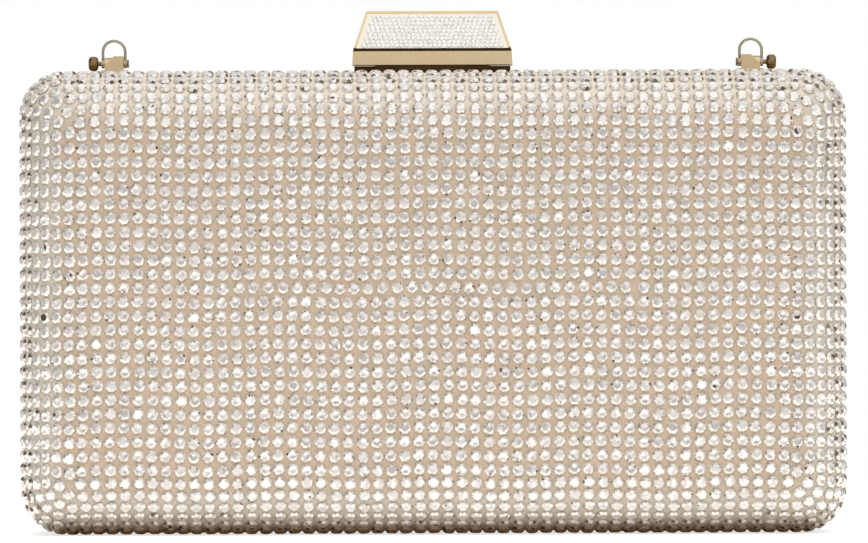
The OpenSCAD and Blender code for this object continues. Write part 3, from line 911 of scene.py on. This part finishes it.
def puffed(name, points, faces, pinned):
    # Heights that a pinned sheet of cloth rises to along Y under pressure
    sheet = newPiece(name, points, faces, satinMaterial)
    pins = sheet.vertex_groups.new(name="pins")
    pins.add(pinned, 1.0, "REPLACE")
    cloth = sheet.modifiers.new("cloth", "CLOTH")
    cloth.settings.quality = lining["quality"]
    cloth.settings.mass = lining["mass"]
    cloth.settings.vertex_group_mass = "pins"
    cloth.settings.use_pressure = True
    cloth.settings.uniform_pressure_force = lining["pressure"]
    cloth.settings.effector_weights.gravity = 0
    cloth.point_cache.frame_end = lining["frames"]
    for step in range(1, lining["frames"] + 1):
        bpy.context.scene.frame_set(step)
    evaluated = sheet.evaluated_get(bpy.context.evaluated_depsgraph_get())
    ready = evaluated.to_mesh()
    risen = [now.co.y / mm - was.y for now, was in zip(ready.vertices, points)]
    evaluated.to_mesh_clear()
    bpy.context.scene.frame_set(1)
    bpy.data.objects.remove(sheet)
    return risen


def faceSheet(sunk, across, up, ring):
    # A grid over the face inside a ring of points, and which grid point each ring point is sewn to
    depth = faceDepth - sunk
    points = [Vector((x, depth, midHeight + z)) for z in up for x in across]
    wide = len(across)
    faces = [
        [row * wide + i, (row + 1) * wide + i, (row + 1) * wide + i + 1, row * wide + i + 1]
        for row in range(len(up) - 1)
        for i in range(wide - 1)
    ]
    nearest = [min(range(len(points)), key=lambda k: (points[k] - spot).length) for spot in ring]
    start = len(points)
    for i in range(len(ring)):
        after = (i + 1) % len(ring)
        face = [start + i, start + after, nearest[after], nearest[i]]
        faces.append(face if nearest[i] != nearest[after] else face[:3])
    return points + ring, faces, start


def evenStops(reach, cell):
    # Stops from plus to minus the reach, at about a cell's size
    count = round(2 * reach / cell)
    return [reach * (1 - 2 * i / count) for i in range(count + 1)]


def liningPiece(side):
    seamRun, steps, cell = lining["seamRun"], lining["cornerSteps"], lining["cell"]
    reachX, reachZ = straightTo(seamRun, lining["seam"])
    across, up = evenStops(reachX, cell), evenStops(reachZ, cell)

    def loopAt(run, sunk):
        # Its stops keep their shares of the straight stretches
        x, z = straightTo(run, sunk)
        stopsX = [a * x / reachX for a in across[1:-1]]
        stopsZ = [u * z / reachZ for u in up[1:-1]]
        return coverLoop(run, sunk, steps, stopsX, stopsX, stopsZ)

    ring = loopAt(seamRun, lining["seam"])
    points, faces, start = faceSheet(lining["face"], across, up, ring)
    risen = puffed(side + "_lining_cloth", points, faces, list(range(start, len(points))))
    for point, rise in zip(points, risen):
        point.y -= min(abs(rise), lining["swell"])
    size, last = len(ring), start
    sideRun, bend = quarterRoll + rollDepth, lining["bend"]
    roll = [quarterRoll * i / lining["rollSteps"] for i in range(lining["rollSteps"] + 1)]
    profile = lining["bank"] + [(run, lining["inside"]) for run in roll[1:]]
    profile += [(sideRun - y, lining["inside"]) for y in lining["sideStops"]]
    profile += [(sideRun - lining["mouth"], lining["brim"])]
    profile += [(sideRun - y, lining["behindFlange"]) for y in (lining["mouth"] + bend, lining["flangeEnd"])]
    profile += [(sideRun - lining["flangeEnd"] - bend, lining["back"])]
    profile += [(run, lining["back"]) for run in reversed(roll)]
    for run, sunk in profile:
        points += loopAt(run, sunk)
        bridge(faces, last, len(points) - size, size)
        last = len(points) - size
    faces.append([last + i for i in range(size)])
    if side == "front":
        points, faces = mirrored(points, faces)
    pad = newPiece(side + "_padded_lining", points, faces, satinMaterial, True)
    smooth = pad.modifiers.new("smooth", "SUBSURF")
    smooth.levels = smooth.render_levels = 1
    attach(pad, side + "_half")
    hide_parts(side + "_lining")


for side in ("rear", "front"):
    liningPiece(side)
print("linings padded")


# Fine stones on the clasp's leaning facet

pave = {
    **laying,            # set in the same manner, apart from what follows
    "lean": 30.466,      # of the facet, in degrees from upright
    "plate": 0.3,        # thickness of the plate that they are set on
    "sideSlope": 0.284,  # how fast the facet narrows up the slope, on each side
    "margin": 0.55,
    "topMargin": 0.9,
    "sideMargin": 1.5,
    "step": 1.02,
    "rowStep": 0.9,
    "sunk": 0.12,
    "stray": 0.07,
    "wander": 0.0,
    "tilt": 5.0,
    "shadeLean": 90.0,   # none of them has a facet with painted shade
    "seed": 21,
    "radius": 0.55,      # of one stone, with its shares as above
    "height": 0.42,
    "table": 0.5,
    "middle": 0.78,
    "middleHeight": 0.75,
    "girdle": 0.35,
    "dish": 0.08,
}


def pavePlaces():
    # Rows up the leaning facet, every other one half a step aside
    low, high = (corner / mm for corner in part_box("clasp_plate"))
    lean = math.radians(pave["lean"])
    up, out = Vector((0, math.sin(lean), math.cos(lean))), Vector((0, -math.cos(lean), math.sin(lean)))
    foot = Vector((0, low.y, low.z + pave["plate"] * math.sin(lean)))
    length = (high.z - foot.z) / math.cos(lean)
    inside = length - pave["margin"] - pave["topMargin"]
    rows = int(inside / pave["rowStep"]) + 1
    places = []
    for row in range(rows):
        slope = pave["margin"] + inside * row / (rows - 1)
        half = high.x - pave["sideSlope"] * slope - pave["sideMargin"]
        count = round(2 * half / pave["step"]) - row % 2
        for i in range(count + 1):
            x = (i - count / 2) * 2 * half / (count + row % 2)
            places.append((foot + Vector((x, 0, 0)) + up * slope - out * pave["sunk"], out))
    return places


paveMaterials = (paveMaterial, paveMaterial)
paveStones = setStones("clasp_pave", pavePlaces(), pave, paveMaterials, pave, pave["seed"])
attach(paveStones, "clasp")
print("clasp paved")


# Stage, light and camera

studio = {
    "floorRadius": 0.45,
    "floorSides": 64,
    "soft": 0.37,        # strength of the soft light all round
    "sky": [             # grey of the room as metal and stones mirror it, from straight down to straight up
        (0.0, 1.0),
        (0.42, 0.9),
        (0.5, 0.64),
        (0.56, 0.68),
        (0.66, 1.03),
        (1.0, 1.03),
    ],
    "back": (0.64, 0.62, 0.6, 1),         # the room behind the bag
    "backStops": [(0.5, 0.0), (0.7, 1.0)],
    "flag": (-0.7, -0.2, 0.68),           # where a dark flag hangs
    "flagStops": [(0.7, 0.0), (0.84, 0.3), (0.89, 1.0)],
    "flagGrey": (0.17, 0.155, 0.14, 1),
    "card": (0.46, 0.43, 0.4, 1),         # dark cards at each side
    "cardStops": [(0.7, 0.0), (0.88, 1.0)],
    "paintedFloorShadow": (0.115, 0.06, 0.02, 1),  # the floor as stones see it: painted shadow beside the bag, and plain away from it
    "farFloor": (0.74, 0.73, 0.715, 1),
    "nearReach": -0.009,                  # from the bag's outline, where the one ends and the other starts
    "farReach": 0.002,
    "floorGlow": 0.66,
    "shadowGrey": 0.4,                    # of the floor's white, what shadows take away, and what stays
    "whiteGlow": 0.7,
    "target": (0, 0, 0.05),               # where the lamps point
}
lamps = {
    "top_box": {"place": (0.05, -0.35, 1.05), "size": 1.4, "power": 19.5},
    "back_lamp": {"place": (0.2, 1.0, 0.3), "size": 0.7, "power": 6},
    "key_lamp": {"place": (-0.35, -0.9, 0.45), "size": 0.4, "power": 0.9},
}


def studioWorld():
    # The light is plain grey, metal and stones mirror the room, and the camera sees white
    world = bpy.data.worlds.new("studio")
    bpy.context.scene.world = world
    finish = Finish(world)
    direction = finish.node("ShaderNodeTexCoord", None, None, "Generated")
    height, away = finish.part(direction, "Z"), finish.part(direction, "Y")
    sideways = finish.maths("ABSOLUTE", finish.part(direction, "X"))
    sky = finish.ramp(height * 0.5 + 0.5, greyStops(studio["sky"]))
    atBack = finish.ramp(away * 0.5 + 0.5, greyStops(studio["backStops"]))
    atCard = finish.ramp(sideways, greyStops(studio["cardStops"]))
    sockets = {0: direction, 1: Vector(studio["flag"]).normalized()}
    towardFlag = finish.node("ShaderNodeVectorMath", {"operation": "DOT_PRODUCT"}, sockets, "Value")
    atFlag = finish.ramp(towardFlag, greyStops(studio["flagStops"]))
    room = finish.mix(atCard, finish.mix(atBack, sky, studio["back"]), studio["card"])
    room = finish.mix(atFlag, room, studio["flagGrey"])
    isCamera, isGlossy, isThrough = (
        finish.node("ShaderNodeLightPath", None, None, name)
        for name in ("Is Camera Ray", "Is Glossy Ray", "Is Transmission Ray")
    )
    seen = finish.mix(isCamera, room, (1, 1, 1, 1))
    soft = studio["soft"]
    colour = finish.mix(isCamera + isGlossy + isThrough, (soft, soft, soft, 1), seen)
    shader = finish.node("ShaderNodeBackground", None, {"Color": colour, "Strength": 1.0})
    finish.node("ShaderNodeOutputWorld", None, {"Surface": shader})


def litSurface(finish, colour, glowColour, strength):
    # A matt surface that also glows a little
    matt = finish.node("ShaderNodeBsdfDiffuse", None, {"Color": colour})
    glow = finish.node("ShaderNodeEmission", None, {"Color": glowColour, "Strength": strength})
    return finish.node("ShaderNodeAddShader", None, {0: matt, 1: glow})


def floorFinish():
    # White to the camera; to the stones it has a painted shadow close round the bag and is bright farther
    # off
    finish = newFinish("studio_floor")
    away = []
    for axis, half in (("X", halfWidth * mm), ("Y", faceDepth * mm)):
        away.append(finish.maths("ABSOLUTE", finish.part(finish.place(), axis)) - half)
    beyond = finish.maths("MAXIMUM", away[0], away[1])
    reached = (beyond - studio["nearReach"]) / (studio["farReach"] - studio["nearReach"])
    clear = finish.ramp(reached, greyStops([(0.0, 0.0), (1.0, 1.0)]))
    colour = finish.mix(clear, studio["paintedFloorShadow"], studio["farFloor"])
    grey = studio["shadowGrey"]
    plain = litSurface(finish, colour, colour, studio["floorGlow"])
    white = litSurface(finish, (grey, grey, grey, 1), (1, 1, 1, 1), studio["whiteGlow"])
    isCamera = finish.node("ShaderNodeLightPath", None, None, "Is Camera Ray")
    shader = finish.node("ShaderNodeMixShader", None, {0: isCamera, 1: plain, 2: white})
    finish.node("ShaderNodeOutputMaterial", None, {"Surface": shader})
    return finish.owner


def studioFloor():
    sides, radius = studio["floorSides"], studio["floorRadius"] / mm
    turns = [2 * math.pi * i / sides for i in range(sides)]
    points = [(0, 0, 0)] + [(radius * math.cos(turn), radius * math.sin(turn), 0) for turn in turns]
    faces = [[0, 1 + i, 1 + (i + 1) % sides] for i in range(sides)]
    floor = newPiece("floor", points, faces, floorFinish())
    # The floor stays under the front half's lowest edge as it opens
    edge = bpy.data.objects.new("front_bottom_edge", None)
    bpy.context.scene.collection.objects.link(edge)
    edge.location = (0, -faceDepth * mm, 0)
    edge.parent = frame["bodies"]["front_half"]
    below = floor.constraints.new("COPY_LOCATION")
    below.target, below.use_x, below.use_y = edge, False, False


def areaLamp(name, place, size, power):
    lamp = bpy.data.lights.new(name, "AREA")
    lamp.energy, lamp.size = power, size
    holder = bpy.data.objects.new(name, lamp)
    holder.location = place
    toward = Vector(studio["target"]) - Vector(place)
    holder.rotation_euler = toward.to_track_quat("-Z", "Y").to_euler()
    bpy.context.scene.collection.objects.link(holder)
    holder.visible_glossy = False   # metal and stones mirror the sky of the room in its place


view = {
    "distance": 1.8,        # from the middle of the bag
    "height": 0.0558,
    "across": 0.0002,
    "roll": 0.2,            # in degrees
    "bodyPixels": 827.6,    # width of the body in the picture
    "pictureWidth": 868,
    "sensor": 36,
    "nearest": 0.01,        # what the camera sees starts so far off
}


def studioCamera():
    camera = bpy.data.cameras.new("camera")
    holder = bpy.data.objects.new("camera", camera)
    bpy.context.scene.collection.objects.link(holder)
    holder.location = (view["across"], -view["distance"], view["height"])
    holder.rotation_euler = (math.pi / 2, math.radians(view["roll"]), 0)
    camera.sensor_width, camera.clip_start = view["sensor"], view["nearest"]
    away = view["distance"] - rollDepth * mm    # the body is widest there
    widthShown = 2 * halfWidth * mm * view["pictureWidth"] / view["bodyPixels"]
    camera.lens = view["sensor"] * away / widthShown
    bpy.context.scene.camera = holder


studioWorld()
studioFloor()
for name, lamp in lamps.items():
    areaLamp(name, **lamp)
studioCamera()
bpy.context.scene.view_settings.view_transform = "Standard"
print("studio ready")
